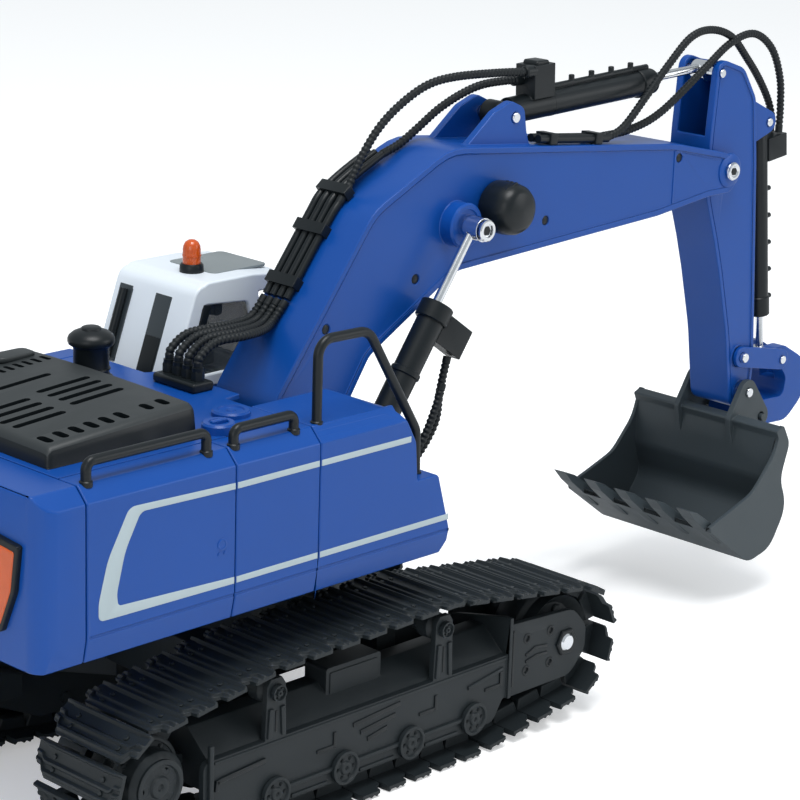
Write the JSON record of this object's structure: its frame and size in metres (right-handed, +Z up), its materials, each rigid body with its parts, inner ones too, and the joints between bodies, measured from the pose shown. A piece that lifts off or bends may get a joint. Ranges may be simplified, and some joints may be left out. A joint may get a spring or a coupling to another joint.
{
  "type": "toy excavator",
  "caption": "Tracked toy excavator with a turning house, cab, boom, stick and bucket moved by linked hydraulic cylinders.",
  "frame": {"origin": "on the ground, in the middle of the whole object at rest. The slew axis is 106 mm behind it.", "axes": "+X forwards, from the counterweight to the bucket; +Y to the cab side; +Z up, parallel to the slew axis"},
  "size_m": [0.568, 0.184, 0.288],
  "materials": {
    "frame_black": "black moulded plastic, slightly textured",
    "track_black": "dark track plastic",
    "roller_grey": "dark grey moulded plastic",
    "house_blue": "blue moulded plastic",
    "boom_blue": "blue paint, smooth",
    "hood_grey": "dark grey moulded plastic",
    "trim_black": "black moulded plastic",
    "cab_white": "off-white moulded plastic",
    "cab_glass": "tinted clear plastic",
    "seat_black": "dark plastic",
    "beacon_orange": "translucent orange plastic",
    "lamp_orange": "translucent orange plastic",
    "rod_chrome": "polished rod",
    "bucket_grey": "dark grey paint",
    "hose_black": "black ribbed hose",
    "battery_grey": "plastic case",
    "board_green": "circuit board",
    "motor_steel": "steel can"
  },
  "bodies": {
    "undercarriage": {"center_frame": "frame_black", "side_frame_right": "frame_black", "side_frame_left": "frame_black", "track_chain_right": "track_black", "track_chain_left": "track_black", "track_motors": "roller_grey", "slew_ring": "roller_grey"},
    "house": {"house_floor": "house_blue", "counterweight": "house_blue", "side_doors": "house_blue", "deck": "house_blue", "front_module": "house_blue", "cab_base": "house_blue", "hood": "hood_grey", "air_stack": "trim_black", "handrails": "trim_black", "fuel_cap": "house_blue", "hose_manifold": "trim_black", "tail_lights": "lamp_orange", "cab_shell": "cab_white", "cab_glass": "cab_glass", "cab_interior": "seat_black", "beacon": "beacon_orange", "cab_bar": "trim_black", "battery_pack": "battery_grey", "control_board": "board_green", "slew_motor": "motor_steel", "swing_hoses": "hose_black", "cylinder_hoses": "hose_black"},
    "sprocket_right": {"sprocket_right": "roller_grey"},
    "idler_right": {"idler_right": "roller_grey"},
    "roller_right_1": {"roller_right_1": "roller_grey"},
    "roller_right_2": {"roller_right_2": "roller_grey"},
    "roller_right_3": {"roller_right_3": "roller_grey"},
    "roller_right_4": {"roller_right_4": "roller_grey"},
    "carrier_right_1": {"carrier_right_1": "roller_grey"},
    "carrier_right_2": {"carrier_right_2": "roller_grey"},
    "sprocket_left": {"sprocket_left": "roller_grey"},
    "idler_left": {"idler_left": "roller_grey"},
    "roller_left_1": {"roller_left_1": "roller_grey"},
    "roller_left_2": {"roller_left_2": "roller_grey"},
    "roller_left_3": {"roller_left_3": "roller_grey"},
    "roller_left_4": {"roller_left_4": "roller_grey"},
    "carrier_left_1": {"carrier_left_1": "roller_grey"},
    "carrier_left_2": {"carrier_left_2": "roller_grey"},
    "boom": {"boom": "boom_blue", "boom_pipes": "hose_black", "boom_hoses": "hose_black", "work_lamps": "trim_black", "stick_hoses": "hose_black"},
    "boom_barrels": {"boom_barrels": "trim_black"},
    "boom_rods": {"boom_rods": "rod_chrome"},
    "stick": {"stick": "boom_blue"},
    "stick_barrel": {"stick_barrel": "trim_black"},
    "stick_rod": {"stick_rod": "rod_chrome"},
    "bucket": {"bucket": "bucket_grey"},
    "rocker": {"rocker": "boom_blue"},
    "c_link": {"c_link": "boom_blue"},
    "bucket_barrel": {"bucket_barrel": "trim_black"},
    "bucket_rod": {"bucket_rod": "rod_chrome"}
  },
  "joints": [
    {"name": "slew", "type": "hinge", "parent": "undercarriage", "child": "house", "pos_m": [-0.106, 0, 0.09], "axis": [0, 0, 1], "continuous": true},
    {"name": "drive_right", "type": "hinge", "parent": "undercarriage", "child": "sprocket_right", "pos_m": [-0.2245, -0.067, 0.0365], "axis": [0, 1, 0], "continuous": true},
    {"name": "idler_spin_right", "type": "hinge", "parent": "undercarriage", "child": "idler_right", "pos_m": [0.0125, -0.067, 0.0365], "axis": [0, 1, 0], "continuous": true},
    {"name": "roller_right_1_spin", "type": "hinge", "parent": "undercarriage", "child": "roller_right_1", "pos_m": [-0.1645, -0.067, 0.0163], "axis": [0, 1, 0], "continuous": true},
    {"name": "roller_right_2_spin", "type": "hinge", "parent": "undercarriage", "child": "roller_right_2", "pos_m": [-0.1255, -0.067, 0.0163], "axis": [0, 1, 0], "continuous": true},
    {"name": "roller_right_3_spin", "type": "hinge", "parent": "undercarriage", "child": "roller_right_3", "pos_m": [-0.0865, -0.067, 0.0163], "axis": [0, 1, 0], "continuous": true},
    {"name": "roller_right_4_spin", "type": "hinge", "parent": "undercarriage", "child": "roller_right_4", "pos_m": [-0.0475, -0.067, 0.0163], "axis": [0, 1, 0], "continuous": true},
    {"name": "carrier_right_1_spin", "type": "hinge", "parent": "undercarriage", "child": "carrier_right_1", "pos_m": [-0.067, -0.067, 0.0625], "axis": [0, 1, 0], "continuous": true},
    {"name": "carrier_right_2_spin", "type": "hinge", "parent": "undercarriage", "child": "carrier_right_2", "pos_m": [-0.164, -0.067, 0.06], "axis": [0, 1, 0], "continuous": true},
    {"name": "drive_left", "type": "hinge", "parent": "undercarriage", "child": "sprocket_left", "pos_m": [-0.2245, 0.067, 0.0365], "axis": [0, 1, 0], "continuous": true},
    {"name": "idler_spin_left", "type": "hinge", "parent": "undercarriage", "child": "idler_left", "pos_m": [0.0125, 0.067, 0.0365], "axis": [0, 1, 0], "continuous": true},
    {"name": "roller_left_1_spin", "type": "hinge", "parent": "undercarriage", "child": "roller_left_1", "pos_m": [-0.1645, 0.067, 0.0163], "axis": [0, 1, 0], "continuous": true},
    {"name": "roller_left_2_spin", "type": "hinge", "parent": "undercarriage", "child": "roller_left_2", "pos_m": [-0.1255, 0.067, 0.0163], "axis": [0, 1, 0], "continuous": true},
    {"name": "roller_left_3_spin", "type": "hinge", "parent": "undercarriage", "child": "roller_left_3", "pos_m": [-0.0865, 0.067, 0.0163], "axis": [0, 1, 0], "continuous": true},
    {"name": "roller_left_4_spin", "type": "hinge", "parent": "undercarriage", "child": "roller_left_4", "pos_m": [-0.0475, 0.067, 0.0163], "axis": [0, 1, 0], "continuous": true},
    {"name": "carrier_left_1_spin", "type": "hinge", "parent": "undercarriage", "child": "carrier_left_1", "pos_m": [-0.067, 0.067, 0.0625], "axis": [0, 1, 0], "continuous": true},
    {"name": "carrier_left_2_spin", "type": "hinge", "parent": "undercarriage", "child": "carrier_left_2", "pos_m": [-0.164, 0.067, 0.06], "axis": [0, 1, 0], "continuous": true},
    {"name": "boom_lift", "type": "hinge", "parent": "house", "child": "boom", "pos_m": [-0.094, 0, 0.13], "axis": [0, -1, 0], "range_deg": [-25, 20], "deforming": ["swing_hoses", "cylinder_hoses"]},
    {"name": "boom_barrel_swing", "type": "hinge", "parent": "house", "child": "boom_barrels", "pos_m": [-0.074, 0, 0.108], "axis": [0, -1, 0], "range_deg": [-26, 21]},
    {"name": "boom_rod_swing", "type": "hinge", "parent": "boom", "child": "boom_rods", "pos_m": [0.003, 0, 0.217], "axis": [0, -1, 0], "range_deg": [-4, 4]},
    {"name": "stick_swing", "type": "hinge", "parent": "boom", "child": "stick", "pos_m": [0.2, 0, 0.217], "axis": [0, -1, 0], "range_deg": [-42, 14], "deforming": ["stick_hoses"]},
    {"name": "stick_barrel_swing", "type": "hinge", "parent": "boom", "child": "stick_barrel", "pos_m": [0.046, 0, 0.259], "axis": [0, -1, 0], "range_deg": [-4, 4]},
    {"name": "stick_rod_swing", "type": "hinge", "parent": "stick", "child": "stick_rod", "pos_m": [0.196, 0, 0.265], "axis": [0, -1, 0], "range_deg": [-15, 41]},
    {"name": "bucket_curl", "type": "hinge", "parent": "stick", "child": "bucket", "pos_m": [0.228, 0, 0.098], "axis": [0, -1, 0], "range_deg": [-70, 20]},
    {"name": "rocker_swing", "type": "hinge", "parent": "stick", "child": "rocker", "pos_m": [0.225, 0, 0.1165], "axis": [0, -1, 0], "range_deg": [-38, 12]},
    {"name": "link_swing", "type": "hinge", "parent": "rocker", "child": "c_link", "pos_m": [0.259, 0, 0.1095], "axis": [0, -1, 0], "range_deg": [-4, 4]},
    {"name": "bucket_barrel_swing", "type": "hinge", "parent": "stick", "child": "bucket_barrel", "pos_m": [0.244, 0, 0.235], "axis": [0, -1, 0], "range_deg": [-6, 4]},
    {"name": "bucket_rod_swing", "type": "hinge", "parent": "rocker", "child": "bucket_rod", "pos_m": [0.259, 0, 0.1095], "axis": [0, -1, 0], "range_deg": [-11, 33]}
  ],
  "couplings": [
    {"joint": "idler_spin_right", "follows": "drive_right", "ratio": 1.141},
    {"joint": "roller_right_1_spin", "follows": "drive_right", "ratio": 2.8325},
    {"joint": "roller_right_2_spin", "follows": "drive_right", "ratio": 2.8325},
    {"joint": "roller_right_3_spin", "follows": "drive_right", "ratio": 2.8325},
    {"joint": "roller_right_4_spin", "follows": "drive_right", "ratio": 2.8325},
    {"joint": "carrier_right_1_spin", "follows": "drive_right", "ratio": 3.7767},
    {"joint": "carrier_right_2_spin", "follows": "drive_right", "ratio": 3.7767},
    {"joint": "idler_spin_left", "follows": "drive_left", "ratio": 1.141},
    {"joint": "roller_left_1_spin", "follows": "drive_left", "ratio": 2.8325},
    {"joint": "roller_left_2_spin", "follows": "drive_left", "ratio": 2.8325},
    {"joint": "roller_left_3_spin", "follows": "drive_left", "ratio": 2.8325},
    {"joint": "roller_left_4_spin", "follows": "drive_left", "ratio": 2.8325},
    {"joint": "carrier_left_1_spin", "follows": "drive_left", "ratio": 3.7767},
    {"joint": "carrier_left_2_spin", "follows": "drive_left", "ratio": 3.7767},
    {"joint": "boom_barrel_swing", "follows": "boom_lift", "ratio": 0.945},
    {"joint": "boom_rod_swing", "follows": "boom_lift", "ratio": -0.055},
    {"joint": "stick_barrel_swing", "follows": "stick_swing", "ratio": 0.055},
    {"joint": "stick_rod_swing", "follows": "stick_swing", "ratio": -0.945},
    {"joint": "rocker_swing", "follows": "bucket_curl", "ratio": 0.518},
    {"joint": "link_swing", "follows": "bucket_curl", "ratio": -0.026},
    {"joint": "bucket_barrel_swing", "follows": "bucket_curl", "ratio": 0.066},
    {"joint": "bucket_rod_swing", "follows": "bucket_curl", "ratio": -0.452}
  ]
}
